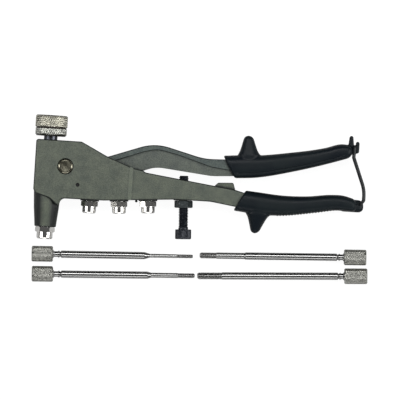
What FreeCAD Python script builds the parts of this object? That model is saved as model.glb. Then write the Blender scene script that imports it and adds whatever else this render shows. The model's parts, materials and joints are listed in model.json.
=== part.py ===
import FreeCAD, Part
import math
import os

os.makedirs("parts", exist_ok=True)
V = FreeCAD.Vector

# Hand riveter for threaded inserts, lying on its side. Millimetres.
# Origin: centre of the fitted nosepiece's anvil face. +Y runs up the barrel to the adjusting knob,
# +X runs out along the handles, +Z is up from the bench and square to the flat sides.

# ---- clearances ----
RUN = 0.05          # radial, a shaft or thread that turns or slides
PRESSED = 0.02      # radial, a pin driven into a hole
SIDE = 0.4          # each side of a part that moves between two walls
SEAT = 0.05         # between two flat faces that meet and move

# ---- nosepieces and barrel ----
SNOUT_H = 5.5
HEX_H = 4.4
NOSE_STUD_R = 5.0       # common screw thread of all the nosepieces
NOSE_STUD_L = 8.0
FITTED_AF = 14.0
FITTED_SNOUT_R = 6.5
STORED_AF = 12.0
STORED_SNOUT_R = 5.5
BORE_SLACK = 0.15       # radial, mandrel in its nosepiece
THREAD_R = {"m3": 1.5, "m4": 2.0, "m5": 2.5, "m6": 3.0}
NOSE_TIP_R = 8.85
NOSE_ROOT_R = 11.1
NOSE_Y = SNOUT_H + HEX_H + SEAT
DRAW_SLEEVE_R = 5.5
SLEEVE_BORE_R = 3.4
SLEEVE_FOOT_Y = 38.0
GUIDE_FOOT_Y = 33.0     # lower end of the sleeve's guide bore
SHANK_BORE_R = 4.1      # barrel between the guide bore and the nosepiece
COLLAR_H = 4.0
COLLAR_FLAT_X = 7.2     # flat that keeps the collar clear of the lever hub

# ---- head ----
HEAD_LEFT_X = -11.3
HEAD_TOP_Y = 81.3
HEAD_STEP_X = 69.3      # the thick head ends here and the thinner handle goes on
STEP_RUN = 2.9
CHEEK_T = 3.0
CHAMBER_W = 18.4
CHAMBER_FLOOR_Y = 47.0
CEILING_T = 4.3
PIVOT_X, PIVOT_Y = 13.8, 60.3
PIVOT_R = 4.0
PIN_HEAD_R = 6.0
PIN_HEAD_H = 1.6
PIN_RECESS_R = 6.7
PIN_RECESS_D = 1.9
CLIP_T = 0.8
STOP_PIN_X, STOP_PIN_Y, STOP_PIN_R = 24.7, 45.9, 1.6
STOP_PIN_SUNK = 0.6

# ---- lever and fixed handle ----
LEVER_T = 14.0
HANDLE_T = 20.0
HUB_R = 6.5
CAM_ARM = 9.0           # pivot to the centre of each cam nose
CAM_R = 3.0
CAM_BAR_R = 2.0
OPEN_DEG = 15.0
CLOSE_DEG = 1.6
HEEL_R = 17.3
PAD_T = 13.0            # stop pad on the fixed handle
CHEEK_END_X = 77.0      # the open gap between the handles starts here
GRIP_X = 154.0          # bottom corner of the fixed grip's front edge
GRIP_L = 105.0
RIM_STEP = 1.2          # how far the lever's web lies below its top rim
EDGE_R = 1.2

# ---- grips and latch ----
FIXED_GRIP_T = 24.4
MOVING_GRIP_T = 21.0
GRIP_EDGE_R = 2.0
LUG_T = 7.0             # narrow ends that the latch wire straddles
WIRE_R = 1.3
WIRE_BEND_R = 2.2
WIRE_SWEEP_R = 28.0     # the long bend where the wire leaves the fixed grip
LATCH_GAP = 0.55        # wire to lug, each side

# ---- adjusting knob, lock ring, return spring ----
KNOB_R = 13.2
KNOB_H = 10.3
RING_R = 12.9
RING_H = 6.7
KNOB_TOP_Y = 101.4
KNOB_TOP_T = 3.4
KNOB_CHAMFER = 1.0
SPRING_WIRE_R = 0.6
SPRING_TURNS = 3.5
WASHER_T = 0.8

# ---- stroke bolt ----
BOLT_R = 4.0
BOLT_PITCH = 1.25
BOLT_HEAD_R = 6.6
BOLT_HEAD_H = 8.0
BOLT_L = 44.0
BOLT_AF = 6.0
NUT_AF = 13.0
NUT_H = 6.0
BOLT_SHARE = 5 / 11     # how far along the open part of the handle the bolt stands
BOLT_SEAT_Y = 38.5
BOLT_TIP_OUT = 20.3     # seat to bolt tip, along the bolt
BOLT_LEAN_DEG = 2.9

# ---- mandrels: reach below the head, thin end, thread, head end place, heading ----
MANDREL_HEAD_R = 6.45
MANDREL_NECK_R = 2.3
MANDREL_SHANK_R = 3.0
FLOOR_Z = -KNOB_R
MANDRELS = {
    "m3": dict(head=17.5, neck=6.7, reach=115.0, thin=35.2, thread=13.4, pitch=0.5,
               at=(-9.8, -12.9), heading=2.6),
    "m4": dict(head=17.5, neck=6.7, reach=116.4, thin=35.8, thread=14.4, pitch=0.7,
               at=(-8.7, -29.4), heading=2.9),
    "m5": dict(head=18.5, neck=5.7, reach=118.5, thin=36.6, thread=14.1, pitch=0.8,
               at=(264.8, 1.3), heading=182.9),
    "m6": dict(head=19.0, neck=5.3, reach=120.8, thin=36.6, thread=20.7, pitch=1.0,
               at=(266.6, -14.0), heading=183.5),
}

# ---- what follows from them ----
HEAD_T = CHAMBER_W + 2 * CHEEK_T
SLOT_W = LEVER_T + 2 * SIDE
HUB_W = CHAMBER_W - 2 * SIDE
FORK_GAP = 2 * (DRAW_SLEEVE_R + SIDE)
COLLAR_R = CHAMBER_W / 2 - 0.3
CEILING_Y = HEAD_TOP_Y - CEILING_T
END_X = GRIP_X + GRIP_L
CAM_REST_DEG = (OPEN_DEG - CLOSE_DEG) / 2
CAM_X = PIVOT_X - CAM_ARM * math.cos(math.radians(CAM_REST_DEG))
CAM_Y = PIVOT_Y + CAM_ARM * math.sin(math.radians(CAM_REST_DEG))
COLLAR_Y = CAM_Y + CAM_R + SEAT
SPRING_FOOT_Y = COLLAR_Y + COLLAR_H
KNOB_Y = KNOB_TOP_Y - KNOB_H
RING_Y = KNOB_Y - SEAT - RING_H
BOLT_X = CHEEK_END_X + BOLT_SHARE * (GRIP_X - CHEEK_END_X)
LATCH_X, LATCH_Y = END_X - 2.4, 44.6
LATCH_Z = LUG_T / 2 + LATCH_GAP + WIRE_R
NOTCH_X, NOTCH_Y = END_X - 9.6, 91.6
STORES = [("m3", 35.1, 33.2, 0.0), ("m4", 59.2, 34.3, 3.6), ("m5", 82.9, 36.1, 3.6)]


# ---- shape helpers ----
def fitted_radii(points, radii):
    """Corner radii, made smaller where two neighbouring corners would use up more than their run."""
    count = len(points)
    halves = [(points[i - 1] - points[i]).getAngle(points[(i + 1) % count] - points[i]) / 2
              for i in range(count)]
    reach = [r / math.tan(half) for r, half in zip(radii, halves)]
    share = [1.0] * count
    for i in range(count):
        following = (i + 1) % count
        run = (points[following] - points[i]).Length
        needed = reach[i] + reach[following]
        if needed > run:
            share[i] = min(share[i], run / needed)
            share[following] = min(share[following], run / needed)
    return [r * part for r, part in zip(radii, share)]


def outline(corners):
    """Closed wire of straight runs through (x, y, r) corners, each rounded to its own radius."""
    points = [V(x, y, 0) for x, y, _ in corners]
    radii = fitted_radii(points, [r for _, _, r in corners])
    starts, ends, arcs = [], [], []
    for i, r in enumerate(radii):
        here = points[i]
        back = (points[i - 1] - here).normalize()
        on = (points[(i + 1) % len(points)] - here).normalize()
        half = back.getAngle(on) / 2
        starts.append(here + back * (r / math.tan(half)))
        ends.append(here + on * (r / math.tan(half)))
        middle = here + (back + on).normalize() * (r / math.sin(half) - r)
        arcs.append(Part.Arc(starts[i], middle, ends[i]).toShape() if r > 0 else None)
    edges = []
    for i, arc in enumerate(arcs):
        if arc:
            edges.append(arc)
        following = starts[(i + 1) % len(points)]
        if (following - ends[i]).Length > 1e-6:
            edges.append(Part.makeLine(ends[i], following))
    return Part.Wire(edges)


def slab(corners, thick):
    """Plate of the given outline, centred on the tool's middle plane."""
    face = Part.Face(outline(corners))
    face.translate(V(0, 0, -thick / 2))
    return face.extrude(V(0, 0, thick))


def soften(plate, radius, keep=lambda edge: True):
    """Round the edges of a plate's two flat sides."""
    flat = [e for e in plate.Edges if e.BoundBox.ZLength < 1e-6 and keep(e)]
    return plate.makeFillet(radius, flat)


def turned(profile, at=V(0, 0, 0), axis=V(0, 1, 0)):
    """Solid turned about an axis: profile holds (distance along, radius) pairs."""
    wire = Part.makePolygon([V(r, h, 0) for h, r in profile] + [V(profile[0][1], profile[0][0], 0)])
    solid = Part.Face(wire).revolve(V(0, 0, 0), V(0, 1, 0), 360)
    solid = Part.Solid(solid) if solid.ShapeType == "Shell" else solid
    solid.Placement = FreeCAD.Placement(at, FreeCAD.Rotation(V(0, 1, 0), axis))
    return solid


def rod(radius, low, high, x=0.0, y=0.0):
    """Round bar square to the flat sides, from z = low to z = high."""
    return Part.makeCylinder(radius, high - low, V(x, y, low), V(0, 0, 1))


def barrel(radius, low, high):
    """Round bar on the barrel line, from y = low to y = high."""
    return Part.makeCylinder(radius, high - low, V(0, low, 0), V(0, 1, 0))


def hexagon(across, height):
    """Hexagonal bar standing on y = 0, with its corners turned down."""
    r = across / math.sqrt(3)
    ring = [V(r * math.cos(math.radians(60 * k)), 0, r * math.sin(math.radians(60 * k)))
            for k in range(7)]
    bar = Part.Face(Part.makePolygon(ring)).extrude(V(0, height, 0))
    bevel = 0.12 * r
    cone = turned([(0, 0), (0, r - bevel), (bevel * 0.6, r + 0.01), (height - bevel * 0.6, r + 0.01),
                   (height, r - bevel), (height, 0)])
    return bar.common(cone)


def ridges(start, length, radius, pitch):
    """(distance along, radius) points of a screw thread's ridges."""
    depth = 0.55 * pitch
    points = []
    for k in range(int(length / pitch)):
        points.append((start + k * pitch, radius - depth))
        points.append((start + (k + 0.5) * pitch, radius))
    points.append((start + int(length / pitch) * pitch, radius - depth))
    return points


def leaning(x, y, lean_deg):
    """Place on the handle's underside: its own -Y points down and leans away from the barrel."""
    return FreeCAD.Placement(V(x, y, 0), FreeCAD.Rotation(V(0, 0, 1), lean_deg))


def write(name, shape):
    shape.exportStep("parts/" + name + ".step")


# ---- body casting ----
def head_slab():
    bottom_slope = (38.8 - 34.3) / (104.4 - 47.0)
    step_bottom_y = 34.3 + (HEAD_STEP_X - 47.0) * bottom_slope
    plate = slab([
        (HEAD_LEFT_X, HEAD_TOP_Y, 2.0), (25.9, HEAD_TOP_Y, 3.0), (47.3, 70.6, 25.0),
        (HEAD_STEP_X, 62.4, 0), (HEAD_STEP_X, step_bottom_y, 0), (47.0, 34.3, 40.0),
        (11.2, 33.9, 4.5), (9.7, 27.4, 1.4), (2.4, 33.6, 6.0), (-9.4, 37.2, 2.0),
        (HEAD_LEFT_X, 40.2, 2.0)], HEAD_T)
    plate = soften(plate, EDGE_R, lambda e: e.BoundBox.XMin < HEAD_STEP_X - 1)
    drop = (HEAD_T - HANDLE_T) / 2
    for side in (1, -1):
        wedge = Part.makePolygon([V(HEAD_STEP_X - STEP_RUN, 0, side * HEAD_T / 2),
                                  V(HEAD_STEP_X, 0, side * (HEAD_T / 2 - drop)),
                                  V(HEAD_STEP_X + 1, 0, side * (HEAD_T / 2 + 1)),
                                  V(HEAD_STEP_X - STEP_RUN, 0, side * (HEAD_T / 2 + 1)),
                                  V(HEAD_STEP_X - STEP_RUN, 0, side * HEAD_T / 2)])
        plate = plate.cut(Part.Face(wedge).extrude(V(0, HEAD_TOP_Y, 0)))
    return plate


def on_handle(share):
    """x of a point between the cheeks' end and the grip's front."""
    return CHEEK_END_X + share * (GRIP_X - CHEEK_END_X)


def on_grip(share):
    """x of a point between the grip's front and its end."""
    return GRIP_X + share * GRIP_L


def fixed_handle_plate():
    """Lower handle, with the tang inside the grip."""
    return slab([
        (52.0, 52.0, 0), (56.0, 66.0, 0), (CHEEK_END_X - 8, 62.4, 0), (CHEEK_END_X, 61.0, 2.5),
        (CHEEK_END_X + 2.8, 59.4, 3.0),
        (on_handle(0.77), 52.1, 30.0), (on_handle(0.98), 50.2, 30.0),
        (on_grip(0.09), 47.4, 12.0), (on_grip(0.35), 44.7, 60.0), (on_grip(0.78), 48.2, 30.0),
        (END_X - 14.0, 47.2, 2.5), (END_X - 14.0, 41.0, 2.5), (on_grip(0.74), 40.3, 40.0),
        (on_grip(0.18), 33.4, 30.0), (on_handle(0.74), 38.9, 30.0), (on_handle(0.36), 38.8, 60.0),
        (47.0, 34.35, 0)], HANDLE_T)


def fixed_handle():
    """Lower handle and the narrower stop pad that stands on its top edge."""
    handle = soften(fixed_handle_plate(), EDGE_R, lambda e: e.BoundBox.XMin > 60)
    pad = on_handle(0.81)
    lug = soften(slab([(pad - 3.6, 48.5, 0), (pad - 3.0, 51.9, 1.0), (pad, 54.9, 2.0),
                       (pad + 12.4, 55.6, 1.8), (pad + 14.3, 50.0, 1.0), (pad + 14.3, 46.0, 0)],
                      PAD_T), 0.8, lambda e: e.BoundBox.YMin > 50.5)
    return handle.fuse(lug)


def nose():
    """Round tapering nose below the flat head."""
    return turned([(NOSE_Y, 0), (NOSE_Y, NOSE_TIP_R - 0.6), (NOSE_Y + 0.6, NOSE_TIP_R),
                   (26.0, 10.3), (40.0, NOSE_ROOT_R), (44.0, NOSE_ROOT_R), (44.0, 0)])


def lever_chamber():
    """Room between the cheeks: wide for the hub and collar, narrow for the lever's arm."""
    left = -CHAMBER_W / 2
    wide = slab([(left, CHAMBER_FLOOR_Y, 1.5), (24.0, CHAMBER_FLOOR_Y, 0), (56.0, 52.6, 0),
                 (56.0, 90.0, 0), (27.0, 90.0, 0), (20.0, CEILING_Y, 0), (left, CEILING_Y, 0.5)],
                CHAMBER_W)
    heel_floor = PIVOT_Y - HEEL_R - 0.5
    narrow = slab([(9.0, heel_floor, 1.0), (29.0, heel_floor, 1.0), (31.0, 48.8, 2.0),
                   (70.0, 54.4, 5.0), (CHEEK_END_X + 4.5, 58.8, 0), (CHEEK_END_X + 12, 66.0, 0),
                   (CHEEK_END_X + 12, 95.0, 0), (40.0, 95.0, 0), (40.0, 66.0, 0), (9.0, 58.0, 0)],
                  SLOT_W)
    return wide.fuse(narrow)


def barrel_bores():
    return [barrel(DRAW_SLEEVE_R + RUN, GUIDE_FOOT_Y, HEAD_TOP_Y + 1),
            barrel(SHANK_BORE_R, NOSE_Y - 1, GUIDE_FOOT_Y + 1),
            barrel(NOSE_STUD_R + RUN, NOSE_Y - 1, NOSE_Y + NOSE_STUD_L + 0.5)]


def underside(shape, x, y, lean):
    """Carry a shape built hanging below the origin to its place under the handle."""
    moved = shape.copy()
    moved.Placement = leaning(x, y, lean).multiply(shape.Placement)
    return moved


def body_casting():
    solid = head_slab().fuse([fixed_handle(), nose()])
    seats = [underside(turned([(0, 0), (0, 7.6), (4, 8.2), (4, 0)]), x, y, lean)
             for _, x, y, lean in STORES]
    seats.append(underside(turned([(0, 0), (0, 8.2), (3, 8.8), (3, 0)]), BOLT_X, BOLT_SEAT_Y,
                           BOLT_LEAN_DEG))
    pip = Part.makeSphere(1.1, V(73.3, 35.6, 0))
    solid = solid.fuse(seats + [pip])
    cuts = [lever_chamber()] + barrel_bores()
    for _, x, y, lean in STORES:
        hole = Part.makeCylinder(NOSE_STUD_R + RUN, NOSE_STUD_L + 1.5, V(0, -1, 0), V(0, 1, 0))
        cuts.append(underside(hole, x, y, lean))
    bolt_hole = Part.makeCylinder(BOLT_R + RUN, 40, V(0, -5, 0), V(0, 1, 0))
    cuts.append(underside(bolt_hole, BOLT_X, BOLT_SEAT_Y, BOLT_LEAN_DEG))
    half = HEAD_T / 2
    cuts.append(rod(PIVOT_R + PRESSED, -half - 1, half + 1, PIVOT_X, PIVOT_Y))
    for low, high in ((half - PIN_RECESS_D, half + 1), (-half - 1, -half + PIN_RECESS_D)):
        cuts.append(rod(PIN_RECESS_R, low, high, PIVOT_X, PIVOT_Y))
    cuts.append(rod(STOP_PIN_R + PRESSED, -half - 1, half + 1, STOP_PIN_X, STOP_PIN_Y))
    return solid.cut(cuts)


# ---- pins ----
def pivot_pin():
    """Headed pin with a dished head and a groove for the clip at the far end."""
    half = HEAD_T / 2
    shoulder = half - PIN_RECESS_D
    groove = -half + PIN_RECESS_D - CLIP_T - SEAT
    foot = -half + 0.1
    pin = turned([(foot, 0), (foot, PIVOT_R - 0.5), (foot + 0.4, PIVOT_R), (shoulder, PIVOT_R),
                  (shoulder, PIN_HEAD_R), (shoulder + PIN_HEAD_H - 0.5, PIN_HEAD_R),
                  (shoulder + PIN_HEAD_H, PIN_HEAD_R - 0.9),
                  (shoulder + PIN_HEAD_H - 0.3, PIN_HEAD_R - 1.4),
                  (shoulder + PIN_HEAD_H - 0.5, 0)], V(PIVOT_X, PIVOT_Y, 0), V(0, 0, 1))
    ring = rod(PIVOT_R + 1, groove, groove + CLIP_T, PIVOT_X, PIVOT_Y)
    return pin.cut(ring.cut(rod(PIVOT_R - 0.8, groove, groove + CLIP_T, PIVOT_X, PIVOT_Y)))


def pivot_clip():
    """Open spring clip in the pin's groove."""
    low = -HEAD_T / 2 + PIN_RECESS_D - CLIP_T - SEAT
    high = low + CLIP_T
    clip = rod(PIN_RECESS_R - 0.4, low, high, PIVOT_X, PIVOT_Y)
    clip = clip.cut(rod(PIVOT_R - 0.8 + PRESSED, low - 1, high + 1, PIVOT_X, PIVOT_Y))
    mouth = Part.makeBox(3.6, PIN_RECESS_R + 1, CLIP_T + 2, V(PIVOT_X - 1.8, PIVOT_Y, low - 1))
    return clip.cut(mouth)


def stop_pin():
    """Slotted spring pin that the lever's heel meets at full opening."""
    half = HEAD_T / 2 - STOP_PIN_SUNK
    pin = rod(STOP_PIN_R, -half, half, STOP_PIN_X, STOP_PIN_Y)
    pin = pin.cut(rod(STOP_PIN_R - 0.45, -half - 1, half + 1, STOP_PIN_X, STOP_PIN_Y))
    slit = Part.makeBox(0.5, STOP_PIN_R + 1, 2 * half + 2,
                        V(STOP_PIN_X - 0.25, STOP_PIN_Y - STOP_PIN_R - 1, -half - 1))
    return pin.cut(slit)


# ---- moving handle ----
def lever_plate():
    """Arm, heel and tang of the moving handle."""
    heel = [(PIVOT_X + HEEL_R * math.cos(math.radians(a)), PIVOT_Y + HEEL_R * math.sin(math.radians(a)))
            for a in (-74.5, -97.0)]
    return slab([
        (PIVOT_X, PIVOT_Y + HUB_R - 0.3, 0), (30.0, 66.3, 30.0), (47.4, 70.2, 60.0),
        (85.7, 84.2, 40.0), (on_handle(0.65), 73.6, 50.0), (on_handle(0.86), 74.2, 40.0),
        (on_grip(0.2), 77.0, 90.0), (on_grip(0.56), 83.5, 90.0), (END_X - 23.0, 90.0, 2.5),
        (END_X - 20.5, 83.0, 2.5), (on_grip(0.73), 79.3, 60.0), (on_grip(0.31), 67.0, 90.0),
        (on_grip(0.06), 61.6, 60.0), (on_handle(0.74), 59.9, 40.0), (86.5, 64.6, 28.0),
        (70.0, 57.4, 12.0), (30.0, 52.8, 12.0), (17.1, 52.9, 1.5), (heel[0][0], heel[0][1], 1.0),
        (heel[1][0], heel[1][1], 1.5), (PIVOT_X - 4.0, PIVOT_Y - 4.5, 0)], LEVER_T)


def lever_web_relief(side):
    """Shallow relief on one flat of the lever, leaving the rim along its top edge proud."""
    depth = slab([
        (50.0, 60.0, 1.0), (50.0, 66.6, 1.0), (76.0, 76.3, 12.0), (88.0, 79.6, 25.0),
        (105.0, 75.9, 30.0), (on_handle(0.73), 67.6, 40.0), (on_grip(0.03), 65.0, 0),
        (on_grip(0.03), 55.0, 0), (86.0, 55.0, 0)], 2 * RIM_STEP)
    depth = soften(depth, RIM_STEP * 0.8, lambda e: e.BoundBox.ZMax * side < 0 and e.BoundBox.YMin > 60)
    depth.translate(V(0, 0, side * LEVER_T / 2))
    return depth


def moving_handle():
    arm = soften(lever_plate(), EDGE_R, lambda e: e.BoundBox.XMin > 40 and e.BoundBox.XMax < END_X - 30)
    arm = arm.cut([lever_web_relief(1), lever_web_relief(-1)])
    hub = rod(HUB_R, -HUB_W / 2, HUB_W / 2, PIVOT_X, PIVOT_Y)
    cam = rod(CAM_R, -HUB_W / 2, HUB_W / 2, CAM_X, CAM_Y)
    bar = Part.makeBox(CAM_ARM, 2 * CAM_BAR_R, HUB_W, V(0, -CAM_BAR_R, -HUB_W / 2))
    bar.Placement = FreeCAD.Placement(V(PIVOT_X, PIVOT_Y, 0),
                                      FreeCAD.Rotation(V(0, 0, 1), 180 - CAM_REST_DEG))
    solid = arm.fuse([hub, cam, bar])
    fork = Part.makeBox(40, 40, FORK_GAP, V(PIVOT_X - HUB_R + 0.3 - 40, PIVOT_Y - 20, -FORK_GAP / 2))
    bore = rod(PIVOT_R + RUN, -HUB_W, HUB_W, PIVOT_X, PIVOT_Y)
    return solid.cut([fork, bore]).removeSplitter()


# ---- draw gear ----
def draw_sleeve():
    top = KNOB_TOP_Y - KNOB_TOP_T - SEAT
    return turned([(SLEEVE_FOOT_Y, SLEEVE_BORE_R), (SLEEVE_FOOT_Y, DRAW_SLEEVE_R - 0.5),
                   (SLEEVE_FOOT_Y + 0.5, DRAW_SLEEVE_R), (top - 0.5, DRAW_SLEEVE_R),
                   (top, DRAW_SLEEVE_R - 0.5), (top, SLEEVE_BORE_R)])


def draw_collar():
    """Ring on the sleeve that the lever's two cams lift; one side is flat, beside the hub."""
    ring = barrel(COLLAR_R, COLLAR_Y, COLLAR_Y + COLLAR_H)
    ring = ring.cut(barrel(DRAW_SLEEVE_R + PRESSED, COLLAR_Y - 1, COLLAR_Y + COLLAR_H + 1))
    flat = Part.makeBox(20, COLLAR_H + 2, 40, V(COLLAR_FLAT_X, COLLAR_Y - 1, -20))
    return ring.cut(flat)


def thrust_washer():
    outer = DRAW_SLEEVE_R + 0.4 + 2 * SPRING_WIRE_R + 0.4
    high = CEILING_Y - 0.02
    ring = barrel(outer, high - WASHER_T, high)
    return ring.cut(barrel(DRAW_SLEEVE_R + 0.3, high - WASHER_T - 1, high + 1))


def return_spring():
    """Coil between the collar and the washer, round the sleeve."""
    low = SPRING_FOOT_Y + SPRING_WIRE_R + 0.1
    high = CEILING_Y - WASHER_T - SPRING_WIRE_R - 0.15
    radius = DRAW_SLEEVE_R + 0.4 + SPRING_WIRE_R
    helix = Part.makeHelix((high - low) / SPRING_TURNS, high - low, radius)
    ring = Part.Wire(Part.makeCircle(SPRING_WIRE_R, V(radius, 0, 0), V(0, 1, 0)))
    coil = Part.Wire(helix.Edges).makePipeShell([ring], True, True)
    coil.Placement = FreeCAD.Placement(V(0, low, 0), FreeCAD.Rotation(V(0, 0, 1), V(0, 1, 0)))
    return coil


def adjusting_knob():
    inner = DRAW_SLEEVE_R + RUN
    ceiling = KNOB_TOP_Y - KNOB_TOP_T
    c = KNOB_CHAMFER
    return turned([(KNOB_Y, inner), (KNOB_Y, KNOB_R - c), (KNOB_Y + c, KNOB_R),
                   (KNOB_TOP_Y - c, KNOB_R), (KNOB_TOP_Y, KNOB_R - c),
                   (KNOB_TOP_Y, SLEEVE_BORE_R + 0.6), (KNOB_TOP_Y - 0.6, SLEEVE_BORE_R),
                   (ceiling, SLEEVE_BORE_R), (ceiling, inner)])


def lock_ring():
    inner = DRAW_SLEEVE_R + RUN
    c = KNOB_CHAMFER * 0.7
    return turned([(RING_Y, inner), (RING_Y, RING_R - c), (RING_Y + c, RING_R),
                   (RING_Y + RING_H - c, RING_R), (RING_Y + RING_H, RING_R - c),
                   (RING_Y + RING_H, inner)])


# ---- nosepieces ----
def nosepiece(across, snout_r, bore_r):
    """Anvil hanging below y = 0: hexagon, round snout, and a screwed stud above."""
    drop = HEX_H + SNOUT_H
    snout = turned([(-drop, 0), (-drop, snout_r - 1.0), (-drop + 0.3, snout_r - 0.4),
                    (-drop + 1.0, snout_r), (-HEX_H + 0.5, snout_r), (-HEX_H + 0.5, 0)])
    flats = hexagon(across, HEX_H)
    flats.translate(V(0, -HEX_H, 0))
    stud = turned([(-1, 0), (-1, NOSE_STUD_R), (NOSE_STUD_L - 0.7, NOSE_STUD_R),
                   (NOSE_STUD_L, NOSE_STUD_R - 0.7), (NOSE_STUD_L, 0)])
    piece = snout.fuse([flats, stud])
    return piece.cut(Part.makeCylinder(bore_r, drop + NOSE_STUD_L + 2, V(0, -drop - 1, 0), V(0, 1, 0)))


def fitted_nosepiece():
    piece = nosepiece(FITTED_AF, FITTED_SNOUT_R, THREAD_R["m6"] + BORE_SLACK)
    piece.translate(V(0, SNOUT_H + HEX_H, 0))
    return piece


def stored_nosepiece(size, x, y, lean):
    piece = nosepiece(STORED_AF, STORED_SNOUT_R, THREAD_R[size] + BORE_SLACK)
    turn_deg = {"m3": 0, "m4": 14, "m5": 10}[size]
    piece.rotate(V(0, 0, 0), V(0, 1, 0), turn_deg)
    piece.translate(V(0, -SEAT, 0))
    return underside(piece, x, y, lean)


# ---- stroke bolt and its nut ----
def stroke_bolt():
    """Socket-head screw, head down; its tip meets the lever and sets the stroke."""
    under_head = BOLT_TIP_OUT - BOLT_L
    foot = under_head - BOLT_HEAD_H
    profile = [(foot, 0), (foot, BOLT_HEAD_R - 0.6), (foot + 0.6, BOLT_HEAD_R),
               (under_head - 0.3, BOLT_HEAD_R), (under_head, BOLT_HEAD_R - 0.3)]
    profile += ridges(under_head, BOLT_L - 1.4, BOLT_R, BOLT_PITCH)
    profile += [(BOLT_TIP_OUT, BOLT_R - 1.0), (BOLT_TIP_OUT, 0)]
    bolt = turned(profile)
    socket = hexagon(BOLT_AF, 6.0)
    socket.translate(V(0, foot - 1.5, 0))
    return underside(bolt.cut(socket), BOLT_X, BOLT_SEAT_Y, BOLT_LEAN_DEG)


def stroke_lock_nut():
    nut = hexagon(NUT_AF, NUT_H)
    nut = nut.cut(Part.makeCylinder(BOLT_R + RUN, NUT_H + 2, V(0, -1, 0), V(0, 1, 0)))
    nut.translate(V(0, -NUT_H - SEAT, 0))
    return underside(nut, BOLT_X, BOLT_SEAT_Y, BOLT_LEAN_DEG)


# ---- grips ----
def fixed_grip():
    """Moulded lower grip with its finger guard, slipped over the tang."""
    thick_end = END_X - 5.8
    body = slab([
        (GRIP_X + 8.3, 50.2, 2.2), (on_grip(0.18), 49.2, 40.0), (on_grip(0.36), 46.6, 60.0),
        (on_grip(0.81), 51.8, 40.0), (thick_end, 48.6, 3.0), (thick_end, 37.3, 3.0),
        (on_grip(0.78), 38.4, 30.0), (on_grip(0.32), 30.9, 20.0),
        (GRIP_X + 27.6, 31.0, 5.0), (GRIP_X + 20.2, 15.5, 2.9), (GRIP_X + 15.4, 15.8, 2.6),
        (GRIP_X + 11.2, 32.0, 4.0), (GRIP_X - 1.0, 33.2, 2.2)],
        FIXED_GRIP_T)
    body = soften(body, GRIP_EDGE_R)
    lug = soften(slab([(thick_end - 12, 48.5, 0), (END_X - 1.0, 47.2, 3.5), (END_X + 0.2, 38.4, 3.8),
                       (thick_end - 3, 37.4, 0), (thick_end - 12, 38.0, 0)], LUG_T), 1.0,
                 lambda e: e.BoundBox.XMax > thick_end)
    hole = rod(WIRE_R + 0.1, -LUG_T, LUG_T, LATCH_X, LATCH_Y)
    return body.fuse(lug).cut([hole, fixed_handle_plate()])


def moving_grip():
    """Moulded upper grip with its finger guard and the hook for the latch wire at its end."""
    thick_end = NOTCH_X - WIRE_R - 0.7
    body = slab([
        (GRIP_X - 12.0, 77.4, 2.2), (GRIP_X + 0.5, 78.4, 3.0), (GRIP_X + 4.2, 93.0, 4.5),
        (GRIP_X + 10.6, 95.6, 3.6), (GRIP_X + 17.0, 79.2, 5.0), (on_grip(0.39), 82.8, 60.0),
        (on_grip(0.68), 89.0, 60.0), (on_grip(0.82), 93.9, 10.0), (thick_end, 93.2, 3.0),
        (thick_end, 82.4, 3.0), (on_grip(0.73), 76.9, 60.0), (on_grip(0.44), 67.6, 60.0),
        (on_grip(0.15), 60.2, 50.0), (GRIP_X - 1.4, 59.3, 2.2)],
        MOVING_GRIP_T)
    body = soften(body, GRIP_EDGE_R)
    hook = soften(slab([
        (thick_end - 6, 92.4, 0), (NOTCH_X - 5.0, 92.6, 0), (NOTCH_X - 4.7, 97.0, 4.0),
        (NOTCH_X - 2.9, 100.2, 1.2), (NOTCH_X - 1.5, 96.5, 4.0),
        (NOTCH_X - WIRE_R - 0.1, NOTCH_Y - WIRE_R - 0.1, 1.2),
        (NOTCH_X + WIRE_R + 0.1, NOTCH_Y - WIRE_R - 0.1, 1.2),
        (NOTCH_X + 1.5, 94.8, 0.7), (NOTCH_X + 3.8, 95.6, 1.0), (NOTCH_X + 3.9, 86.6, 3.5),
        (NOTCH_X - 0.6, 82.6, 2.5), (thick_end - 6, 82.2, 0)], LUG_T), 0.5,
        lambda e: e.BoundBox.XMax > thick_end)
    return body.fuse(hook).cut(lever_plate())


# ---- latch ----
def bent_wire(points, bends):
    """Pipe path of straight runs joined by tangent arcs, one bend radius for each inner point."""
    edges, last = [], points[0]
    for i in range(1, len(points) - 1):
        here = points[i]
        back = (points[i - 1] - here).normalize()
        on = (points[i + 1] - here).normalize()
        half, bend_r = back.getAngle(on) / 2, bends[i - 1]
        start = here + back * (bend_r / math.tan(half))
        end = here + on * (bend_r / math.tan(half))
        middle = here + (back + on).normalize() * (bend_r / math.sin(half) - bend_r)
        edges += [Part.makeLine(last, start), Part.Arc(start, middle, end).toShape()]
        last = end
    return Part.Wire(edges + [Part.makeLine(last, points[-1])])


def latch_wire():
    """Spring-wire bail: pivots in the fixed grip's end and hooks over the moving grip's end."""
    side = [(LATCH_X, LATCH_Y), (END_X + 0.3, 47.6), (END_X + 0.2, 56.6), (NOTCH_X - 0.4, 82.6),
            (NOTCH_X, NOTCH_Y)]
    bends = [WIRE_BEND_R, WIRE_BEND_R, WIRE_SWEEP_R, WIRE_BEND_R, WIRE_BEND_R]
    up = [V(LATCH_X, LATCH_Y, 0.5)] + [V(x, y, LATCH_Z) for x, y in side]
    down = [V(p.x, p.y, -p.z) for p in reversed(up)]
    path = bent_wire(up + down, bends + bends[::-1])
    ring = Part.Wire(Part.makeCircle(WIRE_R, up[0], V(0, 0, 1)))
    return path.makePipeShell([ring], True, True)


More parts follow.
